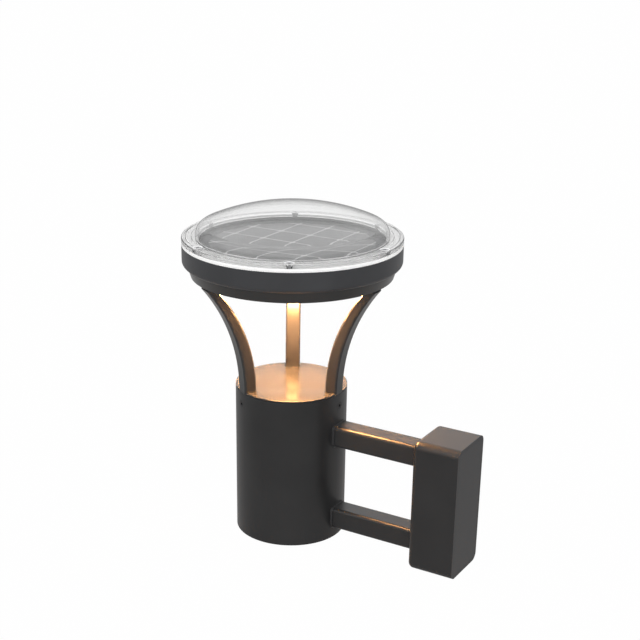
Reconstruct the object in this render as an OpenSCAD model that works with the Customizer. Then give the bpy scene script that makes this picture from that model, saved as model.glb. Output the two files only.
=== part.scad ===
// Solar bollard light on a wall bracket. A round head with a clear domed cover
// stands on three curved struts above a short tube, and two arms hold the tube
// to a slim wall box. All sizes are in millimetres. The wall face is y = 0, the
// light stands out towards -y, and z = 0 is the middle height of the wall box.
// The struts stand at equal turns from the wall side of the tube.

/* [Placing] */

// distance from the wall face to the middle of the tube
axis_to_wall = 201.8; // [196:0.1:208]

/* [Base tube] */

// outer diameter of the tube
tube_d = 114; // [113:0.1:116]

// wall thickness of the tube
tube_wall = 3; // [2.5:0.1:3.2]

// height of the tube itself
tube_h = 157.3; // [152:0.1:162]

// thickness of the disc that closes the top of the tube
cap_t = 2; // [1.5:0.1:3]

// depth of the ring under the top disc that centres it in the tube
cap_skirt_h = 6; // [4:0.5:8]

// thickness of the rings under the discs that close the tube
skirt_wall = 3; // [2:0.1:4]

// thickness of the disc that closes the bottom of the tube
floor_t = 3; // [2:0.1:4]

// height of the ring on the bottom disc
floor_skirt_h = 7; // [5:0.5:8]

// how far the bottom disc lies inside the end of the tube
floor_recess = 1; // [0.5:0.1:1.5]

// diameter of the drain hole in the bottom disc
drain_d = 6; // [4:0.5:8]

/* [Head] */

// diameter of the dark band round the head, and of the cover's flange
head_d = 217.5; // [216:0.1:220]

// height from the rim of the tube to the underside of the head
lantern_h = 116.5; // [113:0.1:120]

// how far the edge of the head's underside lies inside the band
pan_low_in = 8.4; // [8:0.1:9.5]

// how far the top of the sloped lower part lies inside the band
pan_top_in = 5; // [4.8:0.1:6]

// height of the sloped lower part
pan_h = 10.9; // [10:0.1:11.5]

// how far the inner face of the sloped lower part lies inside the band
pan_bore_in = 13.5; // [13:0.25:14.5]

// thickness of the deck at the head's underside
deck_t = 3.5; // [3.2:0.1:4]

// height of the dark band
band_h = 20.3; // [19.8:0.1:21.5]

// radius of the rounded lower corner of the band
band_round = 4.5; // [3.5:0.1:4.6]

// wall thickness of the band
band_wall = 6.5; // [6:0.25:7]

// thickness of the top ring inside the band
shelf_t = 3.1; // [2.8:0.1:3.2]

// how far the panel seat lies below the top of the band
seat_depth = 3.1; // [3:0.1:3.3]

// width of the ledge that the panel's edge lies on
seat_ledge = 3.8; // [2.8:0.1:4.8]

// height of the collar that stands up inside the cover
collar_h = 3.2; // [2.8:0.1:3.4]

// thickness of the collar that stands up inside the cover
collar_t = 2; // [1.6:0.1:2.1]

/* [Cover] */

// thickness of the seal under the cover
gasket_t = 1; // [0.8:0.1:1.2]

// thickness of the cover's flange
flange_t = 6.5; // [6.3:0.1:7.5]

// radius of the flange's upper edge
flange_round = 1.2; // [0.8:0.1:1.6]

// how far the flange stands out round the dome
flange_w = 13.6; // [13.3:0.1:13.9]

// height of the straight side of the dome above the flange
dome_side_h = 1.8; // [1.2:0.1:3]

// radius of the dome's shoulder
dome_knee = 10.8; // [9:0.1:12]

// height of the dome above the flange
dome_rise = 30; // [28:0.1:33]

// wall thickness of the dome
dome_wall = 3; // [2.6:0.1:3.1]

// number of screws in the flange
cover_screw_count = 6; // [6:3:12]

// distance of the cover screws from the edge of the flange
cover_screw_in = 7; // [6.5:0.1:7.3]

/* [Solar panel] */

// thickness of the panel under the cells
panel_t = 2.1; // [1.8:0.1:2.2]

// thickness of the solar cells
cell_t = 0.3; // [0.2:0.05:0.4]

// spacing of the solar cells
cell_pitch = 34; // [33:0.5:35]

// gap between neighbouring cells
cell_gap = 0.8; // [0.6:0.1:1.2]

// size of the cut corners of a cell
cell_corner = 3.2; // [2:0.1:4]

// bare rim round the cells
cell_margin = 2.5; // [2:0.5:3]

/* [Struts] */

// number of struts
strut_count = 3; // [3:1:3]

// width of a strut
strut_w = 15; // [14:0.1:15.5]

// how far the strut's outer face lies inside the tube's outer face at the foot
strut_foot_in = 0.4; // [0.2:0.1:1]

// thickness of a strut at the foot
strut_foot_t = 13.2; // [12.5:0.1:14]

// how far the strut's outer face lies inside the edge of the head's underside
strut_head_in = 0.5; // [0.4:0.1:1]

// thickness of a strut at the head's underside
strut_head_t = 10.2; // [9:0.1:11]

// radius of the strut's long edges
strut_edge = 2; // [1:0.1:2.2]

// depth of the two curved bars whose shared part is a strut
strut_depth = 30; // [26:1:34]

// length of the foot inside the tube
foot_len = 24; // [20:0.5:26]

// how far the foot is narrower than the strut on each side
foot_inset = 0.8; // [0.5:0.1:1]

// depth of the foot's fixing screw below the rim of the tube
foot_screw_drop = 12.3; // [11.5:0.1:13]

/* [Bracket] */

// width of a bracket arm
arm_w = 23.5; // [20:0.1:25]

// height of a bracket arm
arm_h = 22.2; // [20:0.1:24]

// radius of the arm's long edges
arm_edge = 3.5; // [2:0.1:4.5]

// how far the middle of the upper arm lies below the rim of the tube
upper_arm_drop = 42.8; // [41:0.1:44]

// how far the middle of the lower arm lies above the lower end of the tube
lower_arm_rise = 23.2; // [22:0.1:25]

// thickness of the pad between arm and tube
pad_t = 1.3; // [1:0.1:2]

// how far the pad stands out round the arm
pad_lip = 1; // [0.6:0.1:1.4]

// thickness of the curved washer in the tube at its middle
washer_mid_t = 4.5; // [4:0.1:5]

// width and height of the curved washer in the tube
washer_side = 18; // [16:0.5:19]

/* [Wall box] */

// width of the wall box
box_w = 57.7; // [54:0.1:60]

// depth of the wall box from the wall
box_depth = 48.3; // [45:0.1:51]

// how far the wall box reaches beyond the middle of each arm
box_reach = 22.9; // [21:0.1:25]

// radius of the wall box's corners seen from the wall
box_corner = 7.8; // [6.5:0.1:9]

// radius of the wall box's front edges
box_edge = 5.3; // [4.5:0.1:5.8]

// wall thickness of the wall box
box_wall = 3; // [2.5:0.1:3.2]

// thickness of the wall plate and its tabs
plate_t = 3; // [2.5:0.1:3.5]

// depth of the wall plate's tabs
tab_depth = 20; // [18:0.5:24]

// width of the wall plate's tabs
tab_w = 30; // [26:0.5:32]

// gap between the wall plate and the wall box
plate_gap = 0.15; // [0.1:0.05:0.4]

// diameter of the drill marks on the inner side of the wall plate
mark_d = 5.5; // [4.5:0.1:6.5]

// metal left behind a drill mark
mark_left = 1.2; // [0.8:0.1:2]

// distance of the drill marks from the ends of the wall box
mark_in = 23.5; // [20:0.5:28]

// distance of the wall box's screws from the wall
box_screw_in = 12; // [10:0.5:13]

// distance between the wall box's screws
box_screw_pitch = 16; // [14:0.5:18]

/* [Light unit] */

// how far the opening that the light shines through lies inside the band
window_in = 52.5; // [52:0.25:53.5]

// how far the lens reaches beyond its opening
lens_lap = 4.5; // [4:0.25:5]

// thickness of the lens
lens_t = 2.6; // [2.4:0.1:2.8]

// depth of the seat for the lens in the deck
lens_seat = 2; // [1.8:0.1:2.1]

// thickness of the lens seal
lens_seal_t = 0.8; // [0.6:0.1:1]

// width of the lens seal
lens_seal_w = 2.5; // [2:0.1:2.8]

// height of the ring between lens and light board
spacer_h = 1.3; // [1.2:0.1:1.6]

// width of the ring between lens and light board
spacer_w = 4; // [3:0.1:4.4]

// how far the light board reaches beyond the lens
board_lap = 7.5; // [7:0.25:8]

// thickness of the light board
led_board_t = 1.6; // [1.2:0.1:1.7]

// side of a light chip
chip_side = 3.5; // [3:0.1:4]

// height of a light chip
chip_h = 0.8; // [0.6:0.1:0.9]

// number of light chips in the outer ring
outer_chips = 16; // [12:2:20]

// number of light chips in the inner ring
inner_chips = 8; // [6:1:10]

// how far the outer ring of light chips lies inside the opening
outer_chip_in = 17; // [13:1:21]

// radius of the inner ring of light chips over that of the outer ring
inner_chip_share = 0.45; // [0.4:0.05:0.55]

// distance of the light board's screws from its edge
led_screw_in = 3.5; // [3.3:0.1:3.7]

// diameter of the small posts on the deck
post_d = 7; // [6:0.1:7]

/* [Battery and control] */

// diameter of a battery cell
battery_d = 18.2; // [18:0.1:18.3]

// length of a battery cell
battery_len = 65; // [64:0.5:66]

// number of battery cells
battery_count = 3; // [2:1:3]

// spacing of the battery cells
battery_pitch = 19.4; // [19.2:0.1:20]

// thickness of the battery tray below a cell
tray_floor = 0.8; // [0.6:0.1:0.9]

// height of the battery tray
tray_h = 3.5; // [3:0.1:4]

// width of the ears of the battery tray
ear_w = 14; // [12:0.5:16]

// how far the battery tray's screws lie outside the light board
tray_screw_out = 7; // [6:0.1:8]

// gap between light board and battery tray
tray_gap = 0.3; // [0.2:0.05:0.4]

// length of the control board
control_len = 44; // [40:0.5:46]

// width of the control board
control_w = 17; // [15:0.5:18]

// thickness of the control board
control_t = 1.6; // [1.2:0.1:2]

// how far the middle of the control board lies inside the sloped part's inner face
control_in = 15.5; // [15:0.1:16]

// height of the control board above the deck
control_lift = 4.5; // [3:0.5:6]

// size of the largest part on the control board
part_side = 6; // [5:0.5:6.5]

// distance between the control board's screws
control_screw_pitch = 37; // [34:0.5:38]

/* [Push switch] */

// how far the push switch lies inside the sloped part's inner face
switch_in = 16; // [15:0.1:17]

// diameter of the hole for the push switch
switch_hole_d = 12; // [11.5:0.1:12.5]

// diameter of the switch's outer rim
switch_rim_d = 15; // [14.5:0.1:16]

// thickness of the switch's outer rim
switch_rim_t = 1.5; // [1.2:0.1:1.8]

// diameter of the switch's button
button_d = 8.4; // [8:0.1:8.8]

// how far the button stands out of the rim
button_out = 1.6; // [1.5:0.1:2]

// how far the button can be pressed
button_travel = 1.2; // [0.8:0.1:1.4]

// length of the button inside the switch
button_len = 7; // [6:0.1:8]

// diameter of the foot that keeps the button in the switch
button_foot_d = 10; // [9.8:0.1:10.2]

// thickness of the foot that keeps the button in the switch
button_foot_t = 1; // [0.8:0.1:1.2]

// length of the switch's body above the deck
switch_len = 15; // [14:0.5:16]

// width across the nut of the switch
nut_d = 16.5; // [16:0.1:17]

// thickness of the nut of the switch
nut_t = 2.5; // [2:0.1:3]

/* [Fasteners] */

// diameter of the small screws
small_d = 3; // [2.5:0.1:3]

// diameter of the middle-sized screws
screw_d = 4; // [3.6:0.1:4]

// diameter of the bolts in the arms
bolt_d = 6; // [5.5:0.1:6.5]

// head diameter over thread diameter
head_ratio = 1.9; // [1.7:0.05:1.95]

// head height over thread diameter on round heads
head_tall_ratio = 0.6; // [0.5:0.05:0.7]

// key socket diameter over thread diameter
socket_ratio = 0.75; // [0.6:0.05:0.8]

// key socket depth over thread diameter
socket_deep_ratio = 0.4; // [0.3:0.05:0.45]

// thread that a small screw has below the piece it holds
small_bite = 4; // [3:0.1:4.5]

// thread that a middle-sized screw has below the piece it holds
screw_bite = 8; // [6:0.1:8.5]

// thread that a bolt has in an arm
bolt_bite = 20; // [16:0.5:24]

// depth left under a screw in its blind hole
blind_extra = 1; // [0.5:0.1:1.2]

// thickness of the flat washers in the wall box
washer_t = 1.6; // [1.2:0.1:2]

// diameter of the flat washers in the wall box
washer_d = 13; // [12.5:0.1:14]

// metal round a middle-sized screw in a post
post_wall = 3; // [2.5:0.1:3]

/* [Clearances] */

// gap between curved faces that lie on each other
seat_gap = 0.1; // [0.06:0.01:0.15]

// gap round a thread
thread_gap = 0.05; // [0.03:0.01:0.08]

// gap round a screw that passes through a piece
hole_gap = 0.3; // [0.2:0.05:0.35]

// gap round a piece that drops into another
fit_gap = 0.4; // [0.3:0.05:0.4]

// gap round the moving button
button_gap = 0.3; // [0.25:0.05:0.35]

/* [Hidden] */

$fn = 96;
turn = 360;
half_turn = 180;
right = 90;
over = 1;

tube_r = tube_d / 2;
tube_in_r = tube_r - tube_wall;
tube_z = (upper_arm_drop - lower_arm_rise - tube_h) / 2;
rim_z = tube_z + tube_h;
cap_z = rim_z + cap_t;
plug_r = tube_in_r - fit_gap;

pan_z = rim_z + lantern_h;
deck_z = pan_z + deck_t;
band_z = pan_z + pan_h;
band_top_z = band_z + band_h;
head_r = head_d / 2;
pan_bore_r = head_r - pan_bore_in;
band_bore_r = head_r - band_wall;
shelf_z = band_top_z - seat_depth - shelf_t;
seat_z = band_top_z - seat_depth;
dome_r = head_r - flange_w;
collar_r = dome_r - seat_gap - hole_gap;
panel_bed_r = collar_r - collar_t;
seat_r = panel_bed_r - seat_ledge;

flange_z = band_top_z + gasket_t;
flange_top_z = flange_z + flange_t;
cover_screw_r = head_r - cover_screw_in;
knee_z = flange_top_z + dome_side_h;
knee_r = dome_r - dome_knee;
apex_h = dome_rise - dome_side_h;
crown_r = (knee_r * knee_r + apex_h * apex_h - dome_knee * dome_knee) / (2 * (apex_h - dome_knee));
crown_z = flange_top_z + dome_rise - crown_r;
crown_angle = atan2(knee_z - crown_z, knee_r);

panel_r = panel_bed_r - fit_gap;
cells_r = panel_r - cell_margin;
cells_half = ceil(cells_r / cell_pitch);
cell_side = cell_pitch - cell_gap;

strut_foot_r = tube_r - strut_foot_in;
strut_in_foot_r = strut_foot_r - strut_foot_t;
strut_head_r = head_r - pan_low_in - strut_head_in;
strut_in_head_r = strut_head_r - strut_head_t;
strut_rise = pan_z - cap_z;
strut_out_run = strut_head_r - strut_foot_r;
strut_out_bend = (strut_out_run * strut_out_run + strut_rise * strut_rise) / (2 * strut_out_run);
strut_in_run = strut_in_head_r - strut_in_foot_r;
strut_in_bend = (strut_in_run * strut_in_run + strut_rise * strut_rise) / (2 * strut_in_run);
foot_z = rim_z - foot_len;
foot_out_r = tube_in_r - hole_gap;
foot_screw_z = rim_z - foot_screw_drop;

arm_zs = [rim_z - upper_arm_drop, tube_z + lower_arm_rise];
washer_flat_r = tube_in_r - washer_mid_t;
box_h = arm_zs[0] - arm_zs[1] + 2 * box_reach;
mark_z = box_h / 2 - mark_in;
pad_face_y = -axis_to_wall + tube_r + pad_t;
box_front_y = -box_depth;
box_in_y = box_front_y + box_wall;
plate_w = box_w - 2 * box_wall - 2 * plate_gap;
plate_h = box_h - 2 * box_wall - 2 * plate_gap;
plate_corner = box_corner - box_wall - plate_gap;

post_r = screw_d / 2 + post_wall;

window_r = head_r - window_in;
lens_r = window_r + lens_lap;
led_board_r = lens_r + board_lap;
led_screw_r = led_board_r - led_screw_in;
outer_chip_r = window_r - outer_chip_in;
lens_seat_z = deck_z - lens_seat;
lens_z = lens_seat_z + lens_seal_t;
spacer_z = lens_z + lens_t;
led_z = spacer_z + spacer_h;
led_top_z = led_z + led_board_t;
led_post_h = led_z - deck_z;
tray_z = led_top_z + tray_gap;
cradle_r = battery_d / 2 + seat_gap;
battery_z = tray_z + tray_floor + cradle_r;
tray_w = battery_count * battery_pitch;
tray_len = battery_len + 2 * skirt_wall;
tray_screw_r = led_board_r + tray_screw_out;
control_r = pan_bore_r - control_in;
control_z = deck_z + control_lift;

frame_post_r = pan_bore_r - post_r + hole_gap;
frame_screw_len = band_z - pan_z + screw_bite;
cover_post_h = screw_bite + blind_extra;

switch_r = pan_bore_r - switch_in;
bore_r = button_d / 2 + button_gap;
foot_bore_r = button_foot_d / 2 + button_gap;
rim_z_low = pan_z - switch_rim_t;
button_z = rim_z_low - button_out;
button_foot_z = button_z + button_out + switch_rim_t + deck_t / 2;
chamber_top_z = button_foot_z + button_foot_t + button_travel + button_gap;
chamber_z = button_foot_z - button_gap;
bore_top_z = button_z + button_len + button_travel + button_gap;

// Placing helpers

module at_axis(z) {
    translate([0, -axis_to_wall, z]) children();
}

// puts the +x side of its children at the given turn from the wall side
module at_turn(angle) {
    rotate([0, 0, right + angle]) children();
}

module round_strut_turns() {
    for (i = [0 : strut_count - 1]) at_turn(i * turn / strut_count) children();
}

module between_strut_turns() {
    for (i = [0 : strut_count - 1]) at_turn((i + 1 / 2) * turn / strut_count) children();
}

module led_screw_turns() {
    for (i = [0 : strut_count - 1]) at_turn(right + i * turn / strut_count) children();
}

module round_cover_turns() {
    for (i = [0 : cover_screw_count - 1]) at_turn(i * turn / cover_screw_count) children();
}

// Outline helpers

module rounded_outline(w, h, r) {
    square([w - 2 * r, h], center = true);
    square([w, h - 2 * r], center = true);
    for (sx = [-1, 1], sy = [-1, 1]) {
        translate([sx * (w / 2 - r), sy * (h / 2 - r)]) circle(r = r);
    }
}

// half of a rounded edge, turned for a corner or run along a side
module edge_outline(side, edge) {
    square([side - edge, edge]);
    translate([side - edge, 0]) circle(r = edge);
}

module edge_run(side, run, edge) {
    linear_extrude(run, center = true) {
        edge_outline(side / 2, edge);
        mirror([1, 0]) edge_outline(side / 2, edge);
    }
}

// a slab lying on z = 0 with rounded corners and a rounded upper edge
module rounded_slab(w, h, depth, corner, edge) {
    linear_extrude(depth - edge) rounded_outline(w, h, corner);
    translate([0, 0, depth - edge]) {
        for (sx = [-1, 1], sy = [-1, 1]) {
            translate([sx * (w / 2 - corner), sy * (h / 2 - corner), 0])
                rotate_extrude() intersection() {
                    edge_outline(corner, edge);
                    square([corner, edge]);
                }
        }
        intersection() {
            union() {
                rotate([right, 0, 0]) edge_run(w, h - 2 * corner, edge);
                rotate([right, 0, right]) edge_run(h, w - 2 * corner, edge);
            }
            translate([-w, -h, -edge / 2]) cube([2 * w, 2 * h, depth]);
        }
    }
}

module ring(outer_r, inner_r, h) {
    difference() {
        cylinder(h = h, r = outer_r);
        translate([0, 0, -over]) cylinder(h = h + 2 * over, r = inner_r);
    }
}

// Fasteners point down, with the seat of the head at z = 0

module key_socket(d, top) {
    translate([0, 0, top - d * socket_deep_ratio])
        cylinder(h = d * socket_deep_ratio + over, r = d * socket_ratio / 2, $fn = 6);
}

module round_head_screw(d, len) {
    head_r = d * head_ratio / 2;
    head_h = d * head_tall_ratio;
    difference() {
        rotate_extrude()
            polygon([[0, head_h], [head_r, head_h], [head_r, 0], [d / 2, 0], [d / 2, -len], [0, -len]]);
        key_socket(d, head_h);
    }
}

module sunk_screw(d, len) {
    head_r = d * head_ratio / 2;
    difference() {
        rotate_extrude() polygon([[0, 0], [head_r, 0], [d / 2, d / 2 - head_r], [d / 2, -len], [0, -len]]);
        key_socket(d, 0);
    }
}

// the hole for a sunk screw: a cone for the head, then a passing hole
module sunk_hole(d, through) {
    wide_r = d * head_ratio / 2 + hole_gap;
    narrow_r = d / 2 + hole_gap;
    cone_z = narrow_r - wide_r - seat_gap;
    low = -through - over;
    rotate_extrude() polygon([
        [0, over], [wide_r, over], [wide_r, -seat_gap], [narrow_r, cone_z], [narrow_r, low], [0, low]
    ]);
}

module thread_hole(d, depth) {
    translate([0, 0, -depth]) cylinder(h = depth + over, r = d / 2 + thread_gap);
}

// Cover

module dome_outline(r, knee, crown) {
    translate([0, band_z]) square([r, knee_z - band_z]);
    translate([knee_r, knee_z]) circle(r = knee);
    intersection() {
        translate([0, crown_z]) circle(r = crown, $fn = 4 * $fn);
        translate([0, knee_z]) square([crown * cos(crown_angle), dome_rise]);
    }
}

module flange_outline() {
    translate([0, flange_z]) square([head_r, flange_t - flange_round]);
    translate([0, flange_z]) square([head_r - flange_round, flange_t]);
    translate([head_r - flange_round, flange_top_z - flange_round]) circle(r = flange_round);
}

module cover_outline() {
    difference() {
        intersection() {
            union() {
                flange_outline();
                dome_outline(dome_r, dome_knee, crown_r);
            }
            translate([0, flange_z]) square([head_r, flange_t + dome_rise + over]);
        }
        dome_outline(dome_r - dome_wall, dome_knee - dome_wall, crown_r - dome_wall);
        translate([0, flange_z - over]) square([dome_r, collar_h - gasket_t + fit_gap + over]);
    }
}

module clear_cover() {
    color([0.85, 0.9, 0.92, 0.35])
        difference() {
            at_axis(0) rotate_extrude() cover_outline();
            at_axis(flange_top_z) round_cover_turns() translate([cover_screw_r, 0, 0])
                sunk_hole(screw_d, flange_t);
        }
}

module cover_gasket() {
    color([0.93, 0.93, 0.92])
        difference() {
            at_axis(band_top_z) ring(head_r - fit_gap, dome_r, gasket_t);
            at_axis(band_top_z) round_cover_turns() translate([cover_screw_r, 0, -over])
                cylinder(h = gasket_t + 2 * over, r = screw_d / 2 + hole_gap);
        }
}

module cover_screws() {
    color([0.55, 0.55, 0.56])
        at_axis(flange_top_z - seat_gap) round_cover_turns() translate([cover_screw_r, 0, 0])
            sunk_screw(screw_d, flange_t + gasket_t + screw_bite);
}

// Solar panel

module solar_panel() {
    color([0.16, 0.17, 0.2])
        at_axis(seat_z) cylinder(h = panel_t, r = panel_r);
}

module cell_shape() {
    c = cell_side / 2;
    k = c - cell_corner;
    polygon([[c, k], [k, c], [-k, c], [-c, k], [-c, -k], [-k, -c], [k, -c], [c, -k]]);
}

module solar_cells() {
    color([0.36, 0.38, 0.42])
        at_axis(seat_z + panel_t)
            for (i = [-cells_half : cells_half - 1], j = [-cells_half : cells_half - 1]) {
                near_x = min(abs(i), abs(i + 1)) * cell_pitch + cell_corner;
                near_y = min(abs(j), abs(j + 1)) * cell_pitch + cell_corner;
                if (norm([near_x, near_y]) < cells_r) {
                    linear_extrude(cell_t) intersection() {
                        translate([(i + 1 / 2) * cell_pitch, (j + 1 / 2) * cell_pitch]) cell_shape();
                        circle(r = cells_r);
                    }
                }
            }
}

// Head

module housing_outline() {
    difference() {
        union() {
            translate([0, band_z + band_round]) square([head_r, band_h - band_round]);
            translate([0, band_z]) square([head_r - band_round, band_h]);
            translate([head_r - band_round, band_z + band_round]) circle(r = band_round);
            translate([0, band_z + over]) square([collar_r, band_h - over + collar_h]);
        }
        translate([0, band_z - over]) square([band_bore_r, shelf_z - band_z + over]);
        translate([0, band_z]) square([seat_r, band_h + over]);
        translate([0, seat_z]) square([panel_bed_r, seat_depth + collar_h + over]);
    }
}

module head_housing() {
    color([0.2, 0.2, 0.21])
        difference() {
            union() {
                at_axis(0) rotate_extrude() housing_outline();
                at_axis(shelf_z - cover_post_h + over) round_cover_turns()
                    translate([cover_screw_r, 0, 0]) cylinder(h = cover_post_h, r = post_r);
                at_axis(band_z) between_strut_turns() {
                    translate([frame_post_r, 0, 0]) cylinder(h = shelf_z - band_z + over, r = post_r);
                    translate([frame_post_r, -post_wall / 2, 0])
                        cube([band_bore_r + over - frame_post_r, post_wall, shelf_z - band_z + over]);
                }
            }
            at_axis(band_top_z) round_cover_turns() translate([cover_screw_r, 0, 0])
                thread_hole(screw_d, screw_bite + blind_extra);
            at_axis(band_z) between_strut_turns() translate([frame_post_r, 0, 0]) mirror([0, 0, 1])
                thread_hole(screw_d, screw_bite + blind_extra);
        }
}

// a strut is what a bar bent round the outer face and one bent round the inner face share
module strut_section() {
    translate([strut_edge, -strut_w / 2]) square([strut_depth - strut_edge, strut_w]);
    translate([0, -strut_w / 2 + strut_edge]) square([strut_depth, strut_w - 2 * strut_edge]);
    for (s = [-1, 1]) translate([strut_edge, s * (strut_w / 2 - strut_edge)]) circle(r = strut_edge);
}

module strut_bend(foot_r, bend) {
    sweep = asin((strut_rise + over) / bend);
    lead = asin((cap_t + over) / bend);
    translate([foot_r + bend, 0, cap_z]) rotate([right, 0, 0]) rotate([0, 0, half_turn - sweep])
        rotate_extrude(angle = sweep + lead) translate([bend, 0]) children();
}

module strut() {
    foot_t = foot_out_r - strut_in_foot_r - foot_inset;
    root_w = strut_w - 2 * strut_edge;
    intersection() {
        strut_bend(strut_foot_r, strut_out_bend) strut_section();
        strut_bend(strut_in_foot_r, strut_in_bend) mirror([1, 0]) strut_section();
        translate([0, -strut_w, rim_z]) cube([head_d, 2 * strut_w, pan_z - rim_z]);
    }
    translate([strut_in_head_r + strut_edge, -root_w / 2, pan_z - over])
        cube([strut_head_t - 2 * strut_edge, root_w, 2 * over]);
    translate([strut_in_foot_r + foot_inset, -strut_w / 2 + foot_inset, foot_z])
        cube([foot_t, strut_w - 2 * foot_inset, foot_len + over]);
}

module deck_post(r, h, d) {
    translate([r, 0, deck_t - over]) cylinder(h = h + over, r = d / 2);
}

module strut_frame() {
    color([0.2, 0.2, 0.21])
        difference() {
            union() {
                difference() {
                    union() {
                        at_axis(0) round_strut_turns() strut();
                        at_axis(pan_z) cylinder(h = pan_h, r1 = head_r - pan_low_in, r2 = head_r - pan_top_in);
                    }
                    at_axis(deck_z) cylinder(h = pan_h, r = pan_bore_r);
                }
                at_axis(pan_z) between_strut_turns()
                    translate([frame_post_r, 0, over]) cylinder(h = pan_h - over, r = post_r);
                at_axis(pan_z) led_screw_turns() deck_post(led_screw_r, led_post_h, post_d);
                at_axis(pan_z) for (a = [0, half_turn])
                    at_turn(a) deck_post(tray_screw_r, tray_z - deck_z, post_d);
                at_axis(pan_z) at_turn(-right) for (s = [-1, 1])
                    translate([0, s * control_screw_pitch / 2, 0])
                        deck_post(control_r, control_lift, post_d);
            }
            at_axis(pan_z - over) cylinder(h = deck_t + 2 * over, r = window_r);
            at_axis(lens_seat_z) cylinder(h = lens_seat + over, r = lens_r + fit_gap);
            at_axis(pan_z) between_strut_turns() translate([frame_post_r, 0, 0]) mirror([0, 0, 1])
                sunk_hole(screw_d, pan_h);
            at_axis(led_z) led_screw_turns() translate([led_screw_r, 0, 0])
                thread_hole(small_d, small_bite + blind_extra / 2);
            at_axis(tray_z) for (a = [0, half_turn]) at_turn(a) translate([tray_screw_r, 0, 0])
                thread_hole(small_d, small_bite + blind_extra / 2);
            at_axis(control_z) at_turn(-right) for (s = [-1, 1])
                translate([control_r, s * control_screw_pitch / 2, 0])
                    thread_hole(small_d, small_bite + blind_extra / 2);
            at_axis(pan_z - over) at_turn(right) translate([switch_r, 0, 0])
                cylinder(h = deck_t + 2 * over, r = switch_hole_d / 2 + hole_gap);
            at_axis(foot_screw_z) round_strut_turns() translate([foot_out_r, 0, 0])
                rotate([0, right, 0]) thread_hole(screw_d, screw_bite + blind_extra);
        }
}

module frame_screws() {
    color([0.55, 0.55, 0.56])
        at_axis(pan_z + seat_gap) between_strut_turns() translate([frame_post_r, 0, 0])
            mirror([0, 0, 1]) sunk_screw(screw_d, frame_screw_len);
}

module foot_screws() {
    color([0.3, 0.3, 0.31])
        at_axis(foot_screw_z) round_strut_turns() translate([tube_r - seat_gap, 0, 0])
            rotate([0, right, 0]) sunk_screw(screw_d, tube_wall + screw_bite);
}

// Light unit

module lens() {
    color([0.96, 0.95, 0.9])
        at_axis(lens_z) cylinder(h = lens_t, r = lens_r);
}

module lens_seal() {
    color([0.12, 0.12, 0.12])
        at_axis(lens_seat_z) ring(lens_r - hole_gap, lens_r - hole_gap - lens_seal_w, lens_seal_t);
}

module lens_spacer() {
    color([0.95, 0.95, 0.95])
        at_axis(spacer_z) ring(lens_r - hole_gap, lens_r - hole_gap - spacer_w, spacer_h);
}

module led_board() {
    color([0.92, 0.93, 0.92])
        difference() {
            at_axis(led_z) cylinder(h = led_board_t, r = led_board_r);
            at_axis(led_z - over) led_screw_turns() translate([led_screw_r, 0, 0])
                cylinder(h = led_board_t + 2 * over, r = small_d / 2 + hole_gap);
        }
}

module chip_ring(count, r) {
    for (i = [0 : count - 1]) at_turn(i * turn / count)
        translate([r - chip_side / 2, -chip_side / 2, -chip_h]) cube([chip_side, chip_side, chip_h]);
}

module led_chips() {
    color([1, 0.9, 0.55])
        at_axis(led_z) {
            chip_ring(outer_chips, outer_chip_r);
            chip_ring(inner_chips, outer_chip_r * inner_chip_share);
        }
}

module led_board_screws() {
    color([0.6, 0.6, 0.6])
        at_axis(led_top_z) led_screw_turns() translate([led_screw_r, 0, 0])
            round_head_screw(small_d, led_board_t + small_bite);
}

// Battery and control

module battery_tray() {
    color([0.15, 0.15, 0.16])
        difference() {
            at_axis(tray_z) union() {
                translate([-tray_w / 2, -tray_len / 2, 0]) cube([tray_w, tray_len, tray_h]);
                translate([-ear_w / 2, -tray_screw_r, 0]) cube([ear_w, 2 * tray_screw_r, plate_t]);
                for (s = [-1, 1]) translate([0, s * tray_screw_r, 0]) cylinder(h = plate_t, r = ear_w / 2);
            }
            at_axis(battery_z) for (i = [0 : battery_count - 1])
                translate([(i - (battery_count - 1) / 2) * battery_pitch, 0, 0]) rotate([right, 0, 0])
                    cylinder(h = battery_len + 2 * fit_gap, r = cradle_r, center = true);
            at_axis(tray_z - over) for (s = [-1, 1]) translate([0, s * tray_screw_r, 0])
                cylinder(h = plate_t + 2 * over, r = small_d / 2 + hole_gap);
        }
}

module battery_cells() {
    color([0.1, 0.35, 0.6])
        at_axis(battery_z) for (i = [0 : battery_count - 1])
            translate([(i - (battery_count - 1) / 2) * battery_pitch, 0, 0]) rotate([right, 0, 0])
                cylinder(h = battery_len, r = battery_d / 2, center = true);
}

module tray_screws() {
    color([0.6, 0.6, 0.6])
        at_axis(tray_z + plate_t) for (s = [-1, 1]) translate([0, s * tray_screw_r, 0])
            round_head_screw(small_d, plate_t + small_bite);
}

module control_board() {
    color([0.1, 0.35, 0.2])
        difference() {
            at_axis(control_z) at_turn(-right) translate([control_r - control_w / 2, -control_len / 2, 0])
                cube([control_w, control_len, control_t]);
            at_axis(control_z - over) at_turn(-right) for (s = [-1, 1])
                translate([control_r, s * control_screw_pitch / 2, 0])
                    cylinder(h = control_t + 2 * over, r = small_d / 2 + hole_gap);
        }
}

// a coil, a capacitor, a chip and a plug stand on the control board
module board_parts() {
    color([0.2, 0.2, 0.2])
        at_axis(control_z + control_t) at_turn(-right) translate([control_r, 0, 0]) {
            translate([0, -2 * part_side, 0]) cylinder(h = part_side, r = part_side / 2);
            translate([part_side / 2, part_side, 0]) cylinder(h = part_side, r = part_side / 4);
            translate([-part_side, -part_side / 2, 0]) cube([part_side, part_side, part_side / 4]);
            translate([-part_side, part_side, 0]) cube([part_side, part_side / 2, part_side / 2]);
        }
}

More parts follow.
